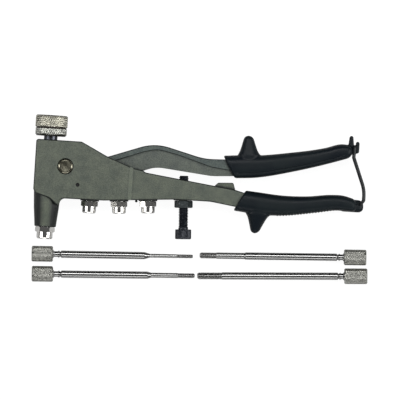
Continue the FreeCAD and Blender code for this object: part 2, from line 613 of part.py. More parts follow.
# ---- mandrels ----
def mandrel(size):
    """Knurled head, neck, polished shank and threaded end, lying on the bench at a slight tilt."""
    m = MANDRELS[size]
    tip_r = THREAD_R[size]
    thin_r = min(tip_r + 0.1, MANDREL_SHANK_R)
    tip = m["head"] + m["reach"]
    thin = tip - m["thin"]
    cone = 3.5 * (MANDREL_SHANK_R - thin_r) / MANDREL_SHANK_R
    profile = [(0, 0), (0, MANDREL_HEAD_R - 0.8), (0.8, MANDREL_HEAD_R),
               (m["head"] - 0.8, MANDREL_HEAD_R), (m["head"], MANDREL_HEAD_R - 0.8),
               (m["head"], MANDREL_NECK_R), (m["head"] + m["neck"], MANDREL_NECK_R),
               (m["head"] + m["neck"] + 0.5, MANDREL_SHANK_R)]
    if thin_r < MANDREL_SHANK_R:
        profile += [(thin - cone, MANDREL_SHANK_R), (thin, thin_r)]
    profile += [(tip - m["thread"], thin_r)]
    profile += ridges(tip - m["thread"] + 0.2, m["thread"] - 1.0, tip_r, m["pitch"])
    profile += [(tip, tip_r * 0.62), (tip, 0)]
    rod_shape = turned(profile, V(0, 0, 0), V(1, 0, 0))
    slot = Part.makeBox(1.6, 2 * MANDREL_HEAD_R + 2, 1.3, V(-0.1, -MANDREL_HEAD_R - 1, -0.65))
    rod_shape = rod_shape.cut(slot)
    rest_span = tip - m["head"] - 0.8
    tilt = math.degrees(math.atan((MANDREL_HEAD_R - tip_r) / rest_span))
    rod_shape.rotate(V(0, 0, 0), V(0, 1, 0), tilt)
    rod_shape.rotate(V(0, 0, 0), V(0, 0, 1), m["heading"])
    low = rod_shape.BoundBox.ZMin
    rod_shape.translate(V(m["at"][0], m["at"][1], FLOOR_Z - low))
    return rod_shape


write("body_casting", body_casting())
write("pivot_pin", pivot_pin())
write("pivot_clip", pivot_clip())
write("stop_pin", stop_pin())
write("moving_handle", moving_handle())
write("draw_sleeve", draw_sleeve())
write("draw_collar", draw_collar())
write("thrust_washer", thrust_washer())
write("return_spring", return_spring())
write("adjusting_knob", adjusting_knob())
write("lock_ring", lock_ring())
write("nosepiece_m6", fitted_nosepiece())
for size, x, y, lean in STORES:
    write("nosepiece_" + size, stored_nosepiece(size, x, y, lean))
write("stroke_bolt", stroke_bolt())
write("stroke_lock_nut", stroke_lock_nut())
write("fixed_grip", fixed_grip())
write("moving_grip", moving_grip())
write("latch_wire", latch_wire())
for size in MANDRELS:
    write("mandrel_" + size, mandrel(size))
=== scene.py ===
"""Look of a plier-type hand riveter for threaded inserts: painted castings, moulded grips, knurled
adjusting knob, chrome nosepieces, black stroke bolt and four loose mandrels on a pale bench."""
import json
import math
import bpy
import numpy as np
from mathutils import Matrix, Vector


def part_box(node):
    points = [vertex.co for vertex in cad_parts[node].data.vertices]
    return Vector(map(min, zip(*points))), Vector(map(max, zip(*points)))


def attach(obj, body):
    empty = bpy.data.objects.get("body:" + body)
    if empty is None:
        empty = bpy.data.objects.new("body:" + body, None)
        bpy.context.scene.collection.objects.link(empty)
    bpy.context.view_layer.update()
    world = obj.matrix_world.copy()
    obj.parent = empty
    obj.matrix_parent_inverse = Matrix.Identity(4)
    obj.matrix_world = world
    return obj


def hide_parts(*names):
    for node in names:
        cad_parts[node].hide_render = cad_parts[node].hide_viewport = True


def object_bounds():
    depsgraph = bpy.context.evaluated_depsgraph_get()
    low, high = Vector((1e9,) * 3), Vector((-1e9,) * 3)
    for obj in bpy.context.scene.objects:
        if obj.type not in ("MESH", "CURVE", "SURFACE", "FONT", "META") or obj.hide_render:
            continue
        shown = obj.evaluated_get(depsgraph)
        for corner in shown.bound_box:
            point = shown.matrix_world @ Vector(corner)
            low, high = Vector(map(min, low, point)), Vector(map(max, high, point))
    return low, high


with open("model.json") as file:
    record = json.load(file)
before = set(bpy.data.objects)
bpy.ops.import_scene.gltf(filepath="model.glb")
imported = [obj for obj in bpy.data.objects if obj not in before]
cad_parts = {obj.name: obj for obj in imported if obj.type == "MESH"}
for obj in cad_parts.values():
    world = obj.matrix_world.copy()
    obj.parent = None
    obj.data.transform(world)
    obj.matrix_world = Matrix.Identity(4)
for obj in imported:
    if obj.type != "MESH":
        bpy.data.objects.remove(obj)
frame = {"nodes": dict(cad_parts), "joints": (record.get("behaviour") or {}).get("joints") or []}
cad_low, cad_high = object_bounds()

# ---- bench, light and camera ----
# A white light table under four soft boxes. The brightest hangs past the knob, the others past the
# mandrels and at both ends, so that turned steel shows a white band and a dark one. The table's glow
# and the pale backdrop are for the eye only and don't light the tool.
CAMERA_HEIGHT = 4.0
VIEW_CENTRE = (0.1254, 0.0398)
VIEW_WIDTH = 0.328
VIEW_ROLL = math.radians(3.65)
BENCH_HALF = 6.0
PAPER = (0.62, 0.62, 0.62, 1)
GLOW_SHARE, GLOW = 0.72, 1.3
BACKDROP = (0.80, 0.80, 0.80, 1)

scene = bpy.context.scene
scene.view_settings.view_transform = "Standard"
lens = bpy.data.cameras.new("camera")
lens.sensor_width = 36.0
lens.lens = lens.sensor_width * CAMERA_HEIGHT / VIEW_WIDTH
camera = bpy.data.objects.new("camera", lens)
camera.location = (*VIEW_CENTRE, CAMERA_HEIGHT)
camera.rotation_euler = (0, 0, VIEW_ROLL)
scene.collection.objects.link(camera)
scene.camera = camera


def softbox(name, place, width, height, watts):
    """Rectangular light at a place, turned to face the middle of the tool."""
    lamp = bpy.data.lights.new(name, "AREA")
    lamp.shape = "RECTANGLE"
    lamp.size, lamp.size_y, lamp.energy = width, height, watts
    box = bpy.data.objects.new(name, lamp)
    box.location = place
    box.rotation_euler = (Vector((*VIEW_CENTRE, 0)) - Vector(place)).to_track_quat("-Z", "Y").to_euler()
    scene.collection.objects.link(box)


softbox("softbox_far", (0.12, 0.62, 1.5), 1.8, 0.42, 12)
softbox("softbox_near", (0.12, -1.3, 0.9), 1.6, 0.5, 5)
softbox("softbox_right", (1.3, 0.1, 0.9), 0.5, 1.0, 8)
softbox("softbox_left", (-1.0, 0.1, 0.9), 0.35, 0.9, 4)


def wire(tree, kind, inputs=(), **settings):
    """Adds a shader node, sets its properties, and fills or links its inputs."""
    made = tree.nodes.new("ShaderNode" + kind)
    for key, value in settings.items():
        setattr(made, key, value)
    for key, value in dict(inputs).items():
        if isinstance(value, bpy.types.NodeSocket):
            tree.links.new(value, made.inputs[key])
        else:
            made.inputs[key].default_value = value
    return made


def shades(tree, factor, stops):
    """Colour ramp through (position, grey or colour) stops."""
    ramp = wire(tree, "ValToRGB", {"Fac": factor})
    for k, (place, tone) in enumerate(stops):
        stop = ramp.color_ramp.elements[k] if k < 2 else ramp.color_ramp.elements.new(place)
        stop.position = place
        stop.color = (*tone, 1) if isinstance(tone, tuple) else (tone, tone, tone, 1)
    return ramp.outputs["Color"]


room = bpy.data.worlds.new("room")
room.use_nodes = True
scene.world = room
toward = wire(room.node_tree, "TexCoord").outputs["Generated"]
across = wire(room.node_tree, "SeparateXYZ", {"Vector": toward}).outputs["Y"]
share = wire(room.node_tree, "MapRange", {"Value": across, "From Min": -1.0, "From Max": 1.0})
walls = shades(room.node_tree, share.outputs["Result"],
               [(0.0, 0.16), (0.40, 0.12), (0.55, 0.06), (0.75, 0.012), (1.0, 0.01)])
looked_at = wire(room.node_tree, "LightPath").outputs["Is Camera Ray"]
backdrop = wire(room.node_tree, "Mix", {0: looked_at, 6: walls, 7: BACKDROP},
                data_type="RGBA").outputs[2]
room.node_tree.links.new(backdrop, room.node_tree.nodes["Background"].inputs["Color"])

bench_mesh = bpy.data.meshes.new("bench_top")
corners = [(x * BENCH_HALF, y * BENCH_HALF, cad_low.z) for x, y in ((-1, -1), (1, -1), (1, 1), (-1, 1))]
bench_mesh.from_pydata(corners, [], [(0, 1, 2, 3)])
bench = bpy.data.objects.new("bench_top", bench_mesh)
scene.collection.objects.link(bench)
bench_finish = bpy.data.materials.new("bench_paper")
bench_finish.use_nodes = True
bench_tree = bench_finish.node_tree
paper = bench_tree.nodes["Principled BSDF"]
paper.inputs["Base Color"].default_value = PAPER
paper.inputs["Roughness"].default_value = 0.9
paper.inputs["Specular IOR Level"].default_value = 0.1
seen = wire(bench_tree, "Math", {0: wire(bench_tree, "LightPath").outputs["Is Camera Ray"],
                                 1: GLOW_SHARE}, operation="MULTIPLY").outputs[0]
glow = wire(bench_tree, "Emission", {"Strength": GLOW}).outputs[0]
lit = wire(bench_tree, "MixShader", {0: seen, 1: paper.outputs[0], 2: glow}).outputs[0]
bench_tree.links.new(lit, bench_tree.nodes["Material Output"].inputs["Surface"])
bench_mesh.materials.append(bench_finish)


# ---- painted castings ----
# The head with its barrel, nose and lower handle, and the lever, are malleable-iron castings in a
# stoved grey-green hammer enamel: shallow dimples and cloudy colour, with painted shade that darkens
# rounded edges and corners.
def finish(name, colour, metallic, roughness, specular=0.5):
    """New material with its plain values on the shader's own sockets."""
    made = bpy.data.materials.new(name)
    made.use_nodes = True
    shader = made.node_tree.nodes["Principled BSDF"]
    shader.inputs["Base Color"].default_value = (*colour, 1)
    shader.inputs["Metallic"].default_value = metallic
    shader.inputs["Roughness"].default_value = roughness
    shader.inputs["Specular IOR Level"].default_value = specular
    return made, made.node_tree, shader


def pattern(tree, kind, per_metre, stretch=(1, 1, 1), **settings):
    """Noise or cell texture laid out in object coordinates, stretched along the axes."""
    spot = wire(tree, "TexCoord").outputs["Object"]
    laid = wire(tree, "Mapping", {"Vector": spot, "Scale": stretch}).outputs["Vector"]
    return wire(tree, kind, {"Vector": laid, "Scale": per_metre, **settings.pop("inputs", {})},
                **settings)


def blend(tree, factor, first, second):
    """Mix of two colours."""
    return wire(tree, "Mix", {0: factor, 6: first, 7: second}, data_type="RGBA").outputs[2]


def relief(tree, shader, height, depth_mm, strength=1.0):
    """Bump of the given depth on the shader's normal."""
    bump = wire(tree, "Bump", {"Height": height, "Distance": depth_mm / 1000, "Strength": strength})
    tree.links.new(bump.outputs["Normal"], shader.inputs["Normal"])


def hammer_enamel(name, light, dark, edge, proud_mm, lean, tint, shade_lifted):
    """Enamel with dimples 1.6 mm across, clouds of two tones, and painted shade: an edge tone on rounded
    edges and, found by occlusion, in corners. Ground that stands further than proud_mm from the middle
    plane and leans more than lean along X takes a tint, and loses its painted edge shade by the share
    in the last argument."""
    made, tree, shader = finish(name, light, 0.0, 0.46, 0.42)
    clouds = pattern(tree, "TexNoise", 130, inputs={"Detail": 6.0, "Roughness": 0.68}).outputs[0]
    cells = pattern(tree, "TexVoronoi", 620, feature="SMOOTH_F1").outputs["Distance"]
    grain = pattern(tree, "TexNoise", 1500, inputs={"Detail": 2.0}).outputs[0]
    cloud_share = wire(tree, "MapRange", {"Value": clouds, "From Min": 0.35, "From Max": 0.65}).outputs[0]
    body = blend(tree, cloud_share, (*dark, 1), (*light, 1))
    speck = wire(tree, "MapRange", {"Value": grain, "From Min": 0.38, "From Max": 0.62,
                                    "To Min": 0.78, "To Max": 1.22}).outputs[0]
    speckled = wire(tree, "Mix", {0: 1.0, 6: body, 7: speck}, data_type="RGBA",
                    blend_type="MULTIPLY").outputs[2]
    facing = wire(tree, "SeparateXYZ", {0: wire(tree, "TexCoord").outputs["Normal"]})
    flat = wire(tree, "Math", {0: facing.outputs["Z"]}, operation="ABSOLUTE").outputs[0]
    # Painted shade: rounded edges, whose normals lie between the face's and the wall's, take the edge tone.
    off_face = wire(tree, "MapRange", {"Value": flat, "From Min": 0.992, "From Max": 0.86}).outputs[0]
    off_wall = wire(tree, "MapRange", {"Value": flat, "From Min": 0.06, "From Max": 0.30}).outputs[0]
    between = wire(tree, "Math", {0: off_face, 1: off_wall}, operation="MULTIPLY").outputs[0]
    # Painted shade: occlusion within 2.2 mm darkens corners to the edge tone.
    corner = wire(tree, "AmbientOcclusion", {"Distance": 0.0022}, samples=8).outputs["AO"]
    corner_shade = wire(tree, "MapRange", {"Value": corner, "From Min": 0.97, "From Max": 0.60}).outputs[0]
    rounded = wire(tree, "Math", {0: between, 1: corner_shade}, operation="MAXIMUM").outputs[0]
    # Tint where the ground leans along X and stands proud: on the head's step it is a painted highlight.
    leaning = wire(tree, "MapRange", {"Value": facing.outputs["X"], "From Min": lean,
                                      "From Max": lean + 0.06}).outputs[0]
    depth = wire(tree, "SeparateXYZ", {0: wire(tree, "TexCoord").outputs["Object"]}).outputs["Z"]
    proud = wire(tree, "Math", {0: wire(tree, "Math", {0: depth}, operation="ABSOLUTE").outputs[0],
                                1: proud_mm / 1000}, operation="GREATER_THAN").outputs[0]
    marked = wire(tree, "Math", {0: leaning, 1: proud}, operation="MULTIPLY").outputs[0]
    tinted = wire(tree, "Mix", {0: marked, 6: speckled, 7: (*tint, 1)}, data_type="RGBA",
                  blend_type="MULTIPLY").outputs[2]
    # Under the tint, the painted edge shade is lifted by the given share.
    shade_kept = wire(tree, "Math", {0: marked, 1: -shade_lifted, 2: 1.0}, operation="MULTIPLY_ADD").outputs[0]
    edging = wire(tree, "Math", {0: rounded, 1: shade_kept}, operation="MULTIPLY").outputs[0]
    tree.links.new(blend(tree, edging, tinted, (*edge, 1)), shader.inputs["Base Color"])
    rough = wire(tree, "MapRange", {"Value": clouds, "From Min": 0.3, "From Max": 0.7,
                                    "To Min": 0.38, "To Max": 0.55}).outputs[0]
    tree.links.new(rough, shader.inputs["Roughness"])
    ripple = wire(tree, "Math", {0: cells, 1: grain}, operation="ADD").outputs[0]
    relief(tree, shader, ripple, 0.10, 0.7)
    return made


def dress(node, made):
    """Gives a CAD node its finish."""
    slots = frame["nodes"][node].data.materials
    slots.clear()
    slots.append(made)


# The step from the head down to the handle is painted paler, a painted highlight where it faces the
# light from the right; the rim of the lever is darker and bluer than its web.
casting_enamel = hammer_enamel("casting_enamel", (0.130, 0.148, 0.112), (0.088, 0.104, 0.084),
                               edge=(0.010, 0.013, 0.012), proud_mm=9.9, lean=0.46,
                               tint=(1.35, 1.35, 1.3), shade_lifted=1.0)
lever_enamel = hammer_enamel("lever_enamel", (0.124, 0.142, 0.118), (0.088, 0.102, 0.092),
                             edge=(0.006, 0.009, 0.010), proud_mm=6.5, lean=-1.1,
                             tint=(0.78, 0.86, 0.92), shade_lifted=0.0)
dress("body_casting", casting_enamel)
dress("moving_handle", lever_enamel)


# ---- pivot, stop pin and draw gear ----
# The pivot pin is turned steel with a dished head and a groove behind for its clip. The slotted spring
# pin is pressed in; the sleeve, collar, washer and return spring inside the head are oiled steel.
def turned_steel(name, colour, roughness, metallic=1.0):
    """Steel with a fine tool grain and small blotches of oil."""
    made, tree, shader = finish(name, colour, metallic, roughness)
    haze = pattern(tree, "TexNoise", 260, inputs={"Detail": 4.0}).outputs[0]
    fine = pattern(tree, "TexNoise", 2600, inputs={"Detail": 2.0}).outputs[0]
    dull = tuple(0.72 * tone for tone in colour)
    tree.links.new(blend(tree, haze, (*dull, 1), (*colour, 1)), shader.inputs["Base Color"])
    rough = wire(tree, "MapRange", {"Value": haze, "From Min": 0.3, "From Max": 0.7,
                                    "To Min": roughness * 0.75, "To Max": roughness * 1.3}).outputs[0]
    tree.links.new(rough, shader.inputs["Roughness"])
    relief(tree, shader, fine, 0.02, 0.4)
    return made


dress("pivot_pin", turned_steel("pin_steel", (0.26, 0.25, 0.19), 0.26))
dress("pivot_clip", turned_steel("clip_steel", (0.30, 0.31, 0.33), 0.36))
dress("stop_pin", turned_steel("stop_pin_steel", (0.012, 0.012, 0.014), 0.55, 0.4))
oiled = turned_steel("oiled_steel", (0.30, 0.31, 0.33), 0.30)
for inner in ("draw_collar", "thrust_washer", "return_spring"):
    dress(inner, oiled)
dress("draw_sleeve", turned_steel("sleeve_steel", (0.09, 0.095, 0.11), 0.32))


# ---- adjusting knob and lock ring ----
# Both are turned from bar and nickel plated, with a diamond knurl rolled round the rim between two
# chamfers; they screw on the sleeve, the ring jamming up against the knob.
SLEEVE_R = 5.55
BORE_R = 3.4
KNOB_R = 13.2
RING_R = 12.9
KNURL_PITCH, KNURL_DEEP = 1.7, 0.5
# Dark brown of the painted shade in the knurls and on the chamfers.
KNURL_SHADE = (0.030, 0.027, 0.021, 1)


def along(corners, step):
    """Points at most a step apart on the straight runs between (distance, radius) corners."""
    runs = [np.linspace(a, b, 1 + max(1, math.ceil(math.dist(a, b) / step)))[:-1]
            for a, b in zip(corners[:-1], corners[1:])]
    return np.concatenate(runs + [np.array(corners[-1:], float)])


def ramp_up(value, start, end):
    """0 before start, 1 after end, and a smooth rise between."""
    t = np.clip((value - start) / (end - start), 0, 1)
    return t * t * (3 - 2 * t)


def diamonds(distance, angle, radius, pitch, depth):
    """Depth cut away by a diamond knurl: two families of helical grooves cross at 30 degrees to the
    axis, and what stands between them is a pyramid, the lesser of the two families' heights."""
    starts = round(2 * math.pi * radius / pitch)
    turn = starts * angle / (2 * math.pi)
    climb = distance * math.tan(math.radians(30)) / pitch
    one = 2 * np.abs((turn + climb + 0.5) % 1 - 0.5)
    other = 2 * np.abs((turn - climb + 0.5) % 1 - 0.5)
    return depth * (1 - np.minimum(np.minimum(one, other) * 1.25, 1))


def lathe(distance, radius, angle):
    """Grid of points on a surface of revolution: distance along the axis, then two across."""
    distance, radius, angle = np.broadcast_arrays(distance, radius, angle)
    return np.stack([distance, radius * np.cos(angle), radius * np.sin(angle)], -1)


def carry(grid, origin, axis):
    """Moves a lathe grid so that its own axis runs from origin along axis, without mirroring it."""
    d = Vector(axis).normalized()
    side = Vector((0, 0, 1)).cross(d).normalized()
    return grid @ np.array([d, side, d.cross(side)]) + np.array(origin)


def skin(name, grid, looped=False):
    """Closed mesh over a grid of points in mm, rows along the piece and columns round it. Rows close
    on themselves when looped; otherwise the first and last are drawn to their middle point. Faces
    are turned outward by the sign of the volume that they enclose."""
    rows, cols = grid.shape[:2]
    row = np.arange(rows if looped else rows - 1)[:, None]
    col = np.arange(cols)
    on, by = (row + 1) % rows, (col + 1) % cols
    quads = np.stack([row * cols + col, row * cols + by, on * cols + by, on * cols + col], -1)
    quads, points = quads.reshape(-1, 4), grid.reshape(-1, 3)
    caps = np.empty((0, 3), int)
    if not looped:
        first, last = len(points), (rows - 1) * cols
        caps = np.concatenate([np.stack([by, col, np.full(cols, first)], -1),
                               np.stack([last + col, last + by, np.full(cols, first + 1)], -1)])
        points = np.concatenate([points, [grid[0].mean(0), grid[-1].mean(0)]])
    a, b, c = points[np.concatenate([quads[:, :3], quads[:, [0, 2, 3]], caps])].transpose(1, 0, 2)
    if np.sum(a * np.cross(b, c)) < 0:
        quads, caps = quads[:, ::-1], caps[:, ::-1]
    mesh = bpy.data.meshes.new(name)
    mesh.from_pydata((points / 1000).tolist(), [], quads.tolist() + caps.tolist())
    mesh.shade_smooth()
    mesh.set_sharp_from_angle(angle=math.radians(38))
    made = bpy.data.objects.new(name, mesh)
    scene.collection.objects.link(made)
    return made


def mount(piece, made, body, slot, *nodes):
    """Gives a new piece its finish, the body that it moves with and the CAD nodes it stands for."""
    piece.data.materials.append(made)
    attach(piece, body)
    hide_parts(*nodes)
    return piece


def knurled_ring(name, section, radius, band):
    """Turned ring whose section is a closed loop of corners, knurled where it lies in the band."""
    angle = np.linspace(0, 2 * math.pi, 504, endpoint=False)
    s, r = along(section + section[:1], 0.2)[:-1].T
    rim = (r > radius - 0.01) * ramp_up(s, band[0], band[0] + 0.4) * ramp_up(-s, -band[1], 0.4 - band[1])
    cut = diamonds(s[:, None], angle, radius, KNURL_PITCH, KNURL_DEEP) * rim[:, None]
    return skin(name, carry(lathe(s[:, None], r[:, None] - cut, angle), (0, 0, 0), (0, 1, 0)), looped=True)


def plated_knurl(name, colour, chamfer_shade):
    """Nickel plate, turned dark brown by painted shade in the bottom of the knurl and in other recesses,
    found by occlusion, and on the chamfers, whose normals lean 45 degrees to the axis."""
    made, tree, shader = finish(name, colour, 0.86, 0.24)
    blotch = pattern(tree, "TexNoise", 420, inputs={"Detail": 5.0, "Roughness": 0.7}).outputs[0]
    share = wire(tree, "MapRange", {"Value": blotch, "From Min": 0.38, "From Max": 0.62}).outputs[0]
    worn = tuple(0.62 * tone for tone in colour)
    # Painted shade: occlusion within 0.9 mm darkens the bottom of the knurl and the joints.
    corner = wire(tree, "AmbientOcclusion", {"Distance": 0.0009}, samples=8).outputs["AO"]
    recess_shade = wire(tree, "MapRange", {"Value": corner, "From Min": 0.9, "From Max": 0.4,
                                     "To Max": 0.9}).outputs[0]
    plate = blend(tree, share, (*worn, 1), (*colour, 1))
    # Painted shade on the chamfers, found by their normals.
    lean = wire(tree, "SeparateXYZ", {0: wire(tree, "TexCoord").outputs["Normal"]}).outputs["Y"]
    off = wire(tree, "Math", {0: wire(tree, "Math", {0: lean}, operation="ABSOLUTE").outputs[0], 1: 0.707,
                              2: 0.12}, operation="COMPARE").outputs[0]
    shaded_chamfer = wire(tree, "Math", {0: off, 1: chamfer_shade}, operation="MULTIPLY").outputs[0]
    knurl_shade_share = wire(tree, "Math", {0: shaded_chamfer, 1: recess_shade}, operation="MAXIMUM").outputs[0]
    tree.links.new(blend(tree, knurl_shade_share, plate, KNURL_SHADE), shader.inputs["Base Color"])
    rough = wire(tree, "MapRange", {"Value": blotch, "To Min": 0.16, "To Max": 0.34}).outputs[0]
    tree.links.new(rough, shader.inputs["Roughness"])
    return made


knob_low, knob_high = (corner.y * 1000 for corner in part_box("adjusting_knob"))
ring_low, ring_high = (corner.y * 1000 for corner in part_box("lock_ring"))
knob_section = [(knob_low, SLEEVE_R), (knob_low, KNOB_R - 1), (knob_low + 1, KNOB_R),
                (knob_high - 1, KNOB_R), (knob_high, KNOB_R - 1), (knob_high, KNOB_R - 2.6),
                (knob_high - 0.35, KNOB_R - 3.0), (knob_high - 0.35, BORE_R + 0.6),
                (knob_high - 0.95, BORE_R), (knob_high - 3.4, BORE_R), (knob_high - 3.4, SLEEVE_R)]
ring_section = [(ring_low, SLEEVE_R), (ring_low, RING_R - 1.2), (ring_low + 1.4, RING_R),
                (ring_high - 0.7, RING_R), (ring_high, RING_R - 0.7), (ring_high, SLEEVE_R)]
mount(knurled_ring("knob_knurled", knob_section, KNOB_R, (knob_low + 0.9, knob_high - 0.9)),
      plated_knurl("knob_nickel", (0.86, 0.84, 0.71), 0.75), "knob", "knurled_steel", "adjusting_knob")
mount(knurled_ring("ring_knurled", ring_section, RING_R, (ring_low + 1.3, ring_high - 0.6)),
      plated_knurl("ring_nickel", (0.86, 0.87, 0.80), 0.92), "ring", "knurled_steel", "lock_ring")


# ---- painted shade in the spring pin's bore ----
# The spring pin is rolled from strip, so it has an open bore. A dull, nearly black plug fills the
# bore a little short of both ends, painted shade for the dark inside of the hole; it moves with the body.
PIN_BORE_R = 1.13
pin_low, pin_high = (1000 * np.array(corner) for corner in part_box("stop_pin"))
around = np.linspace(0, 2 * math.pi, 32, endpoint=False)
s, r = along([(pin_low[2] + 0.4, 0.3), (pin_low[2] + 0.4, PIN_BORE_R), (pin_high[2] - 0.4, PIN_BORE_R),
              (pin_high[2] - 0.4, 0.3)], 0.5).T
bore_shade_grid = lathe(s[:, None], r[:, None], around)[..., [1, 2, 0]] + [*(pin_low + pin_high)[:2] / 2, 0]
bore_shade_plug = skin("pin_bore_shade", bore_shade_grid)
bore_shade_plug.data.materials.append(turned_steel("pin_bore_shade_finish", (0.010, 0.010, 0.011), 0.7, 0.0))
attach(bore_shade_plug, "body")


# ---- nosepieces ----
# Four anvils of hardened steel, polished and chrome plated, with a spanner hexagon above a round
# snout. One is fitted in the nose and three are kept in tapped bosses under the handle.
chrome, chrome_tree, chrome_shader = finish("chrome_plate", (0.86, 0.85, 0.82), 1.0, 0.10)
smears = pattern(chrome_tree, "TexNoise", 500, inputs={"Detail": 3.0}).outputs[0]
smear_rough = wire(chrome_tree, "MapRange", {"Value": smears, "To Min": 0.05, "To Max": 0.20}).outputs[0]
chrome_tree.links.new(smear_rough, chrome_shader.inputs["Roughness"])
relief(chrome_tree, chrome_shader, smears, 0.02, 0.3)
for size in ("m3", "m4", "m5", "m6"):
    dress("nosepiece_" + size, chrome)


# ---- stroke bolt and lock nut ----
# An 8 mm socket-head screw and thin nut in black oxide. It is screwed up through the handle, its
# tip meets the lever and the nut locks it; the head has a straight knurl and a 6 mm hexagon socket.
BOLT_R = 4.0
BOLT_PITCH = 1.25
BOLT_HEAD_R = 6.6
BOLT_HEAD_H = 8.0
BOLT_L = 44.0
BOLT_TIP_OUT = 20.3
BOLT_AF = 6.0


def thread(distance, angle, pitch, start, end):
    """Depth cut away by a right-hand screw thread: a ridge that climbs one pitch in each turn, fading
    in over a pitch at the start and out at the end."""
    phase = (distance / pitch - angle / (2 * math.pi)) % 1
    flank = np.clip(1.35 * np.abs(2 * phase - 1) - 0.15, 0, 1)
    held = ramp_up(distance, start, start + pitch) * ramp_up(-distance, -end, pitch / 2 - end)
    return 0.58 * pitch * (1 - flank) * held


def black_oxide(name, dark, pale):
    """Blue-black oxide over machined steel, rubbed paler in spots."""
    made, tree, shader = finish(name, dark, 0.35, 0.36)
    rubbed = pattern(tree, "TexNoise", 700, inputs={"Detail": 5.0}).outputs[0]
    share = wire(tree, "MapRange", {"Value": rubbed, "From Min": 0.52, "From Max": 0.78}).outputs[0]
    tree.links.new(blend(tree, share, (*dark, 1), (*pale, 1)),
                   shader.inputs["Base Color"])
    relief(tree, shader, rubbed, 0.03, 0.4)
    return made


joints = {joint["name"]: joint for joint in frame["joints"]}
bolt_axis = joints["stroke_set"]["axis"]
bolt_seat = 1000 * np.array(joints["lock_nut_turn"]["pos_m"])
head_top = BOLT_TIP_OUT - BOLT_L
foot = head_top - BOLT_HEAD_H
around = np.linspace(0, 2 * math.pi, 192, endpoint=False)
hexagon = BOLT_AF / 2 / np.cos(around % (math.pi / 3) - math.pi / 6)
s, r = along([(foot, BOLT_AF / 2 + 0.7), (foot, BOLT_HEAD_R - 0.6), (foot + 0.6, BOLT_HEAD_R),
              (head_top - 0.3, BOLT_HEAD_R), (head_top, BOLT_HEAD_R - 0.3), (head_top, BOLT_R - 1)], 0.3).T
flutes = 0.16 * (0.5 + 0.5 * np.cos(48 * around)) * (
    (r > BOLT_HEAD_R - 0.01) * ramp_up(s, foot + 0.6, foot + 1.2)
    * ramp_up(-s, -head_top, 1.0 - head_top))[:, None]
socket = [(foot + 4.5, 0.1), (foot + 4.5, 1.0), (foot + 0.25, 1.0), (foot, 1.05)]
socket_grid = np.stack([lathe(depth, part * hexagon, around) for depth, part in socket])
head_grid = np.concatenate([socket_grid, lathe(s[:, None], r[:, None] - flutes, around)])
oxide = black_oxide("bolt_oxide", (0.012, 0.015, 0.022), (0.075, 0.082, 0.10))
mount(skin("bolt_head", carry(head_grid, bolt_seat, bolt_axis)), oxide, "bolt", "black_oxide", "stroke_bolt")
s, r = along([(head_top - 1, BOLT_R - 1.2), (head_top - 1, BOLT_R), (BOLT_TIP_OUT - 0.9, BOLT_R),
              (BOLT_TIP_OUT, BOLT_R - 1), (BOLT_TIP_OUT, 0.3)], 0.14).T
around = np.linspace(0, 2 * math.pi, 64, endpoint=False)
cut = thread(s[:, None], around, BOLT_PITCH, head_top + 1.0, BOLT_TIP_OUT - 0.2) * (r > BOLT_R - 0.5)[:, None]
mount(skin("bolt_shank", carry(lathe(s[:, None], r[:, None] - cut, around), bolt_seat, bolt_axis)),
      oxide, "bolt", "black_oxide", "stroke_bolt")
dress("stroke_lock_nut", black_oxide("nut_oxide", (0.034, 0.042, 0.044), (0.13, 0.15, 0.15)))


# ---- grips ----
# Each grip is one moulding of blue-black vinyl pushed over the handle's tang: rounded oblong in
# section, cut on a slant in front, with a finger guard and a narrow end that the latch wire straddles.
GRIP_T = {"moving_grip": 21.0, "fixed_grip": 24.4}
LUG_T = 7.0
VOXEL = 0.5
SEAM_DEEP, SEAM_WIDE = 1.0, 0.6
RIB_HIGH, RIB_PITCH = 0.5, 2.4


def faired(x, stations):
    """Height at x of a smooth curve through (x, height) stations: cubic pieces whose slope at each
    station follows its two neighbours."""
    xs, ys = np.array(stations, float).T
    slope = np.gradient(ys, xs)
    k = np.clip(np.searchsorted(xs, x) - 1, 0, len(xs) - 2)
    run = xs[k + 1] - xs[k]
    t = np.clip((x - xs[k]) / run, 0, 1)
    rise = ys[k] * (1 + 2 * t) * (1 - t) ** 2 + ys[k + 1] * t * t * (3 - 2 * t)
    return rise + run * (slope[k] * t * (1 - t) ** 2 + slope[k + 1] * t * t * (t - 1))


def oval(count, power):
    """Two shares from -1 to 1 round a superellipse, a rounded oblong when power is above 2."""
    turn = np.linspace(0, 2 * math.pi, count, endpoint=False)
    return [np.sign(f(turn)) * np.abs(f(turn)) ** (2 / power) for f in (np.sin, np.cos)]


def handle_moulding(top, bottom, thick, front_r, end_r):
    """Oval sections carried from a slanted front to an upright end. A section spans from the bottom
    curve to the top curve, whose first stations give the slant, and shrinks by a quarter round at
    each end."""
    quarter = np.linspace(0, math.pi / 2, 7)[:-1]
    length = top[-1][0] - bottom[0][0]
    share = np.concatenate([front_r * (1 - np.cos(quarter)) / length,
                            np.linspace(front_r, length - end_r, 150) / length,
                            1 - end_r * (1 - np.cos(quarter[::-1])) / length])
    inset = np.concatenate([front_r * (1 - np.sin(quarter)), np.zeros(150),
                            end_r * (1 - np.sin(quarter[::-1]))])
    low_x, high_x = (rail[0][0] + share * (rail[-1][0] - rail[0][0]) for rail in (bottom, top))
    low = np.stack([low_x, faired(low_x, bottom)], -1)
    high = np.stack([high_x, faired(high_x, top)], -1)
    middle, half = (high + low) / 2, (high - low) / 2
    half *= 1 - inset[:, None] / np.linalg.norm(half, axis=1, keepdims=True)
    side = thick / 2 * (0.955 + 0.045 * np.sin(math.pi * share)) - inset
    up, out = oval(96, 3.3)
    flat = middle[:, None] + half[:, None] * up[:, None]
    return np.concatenate([flat, (side[:, None] * out)[..., None]], -1)


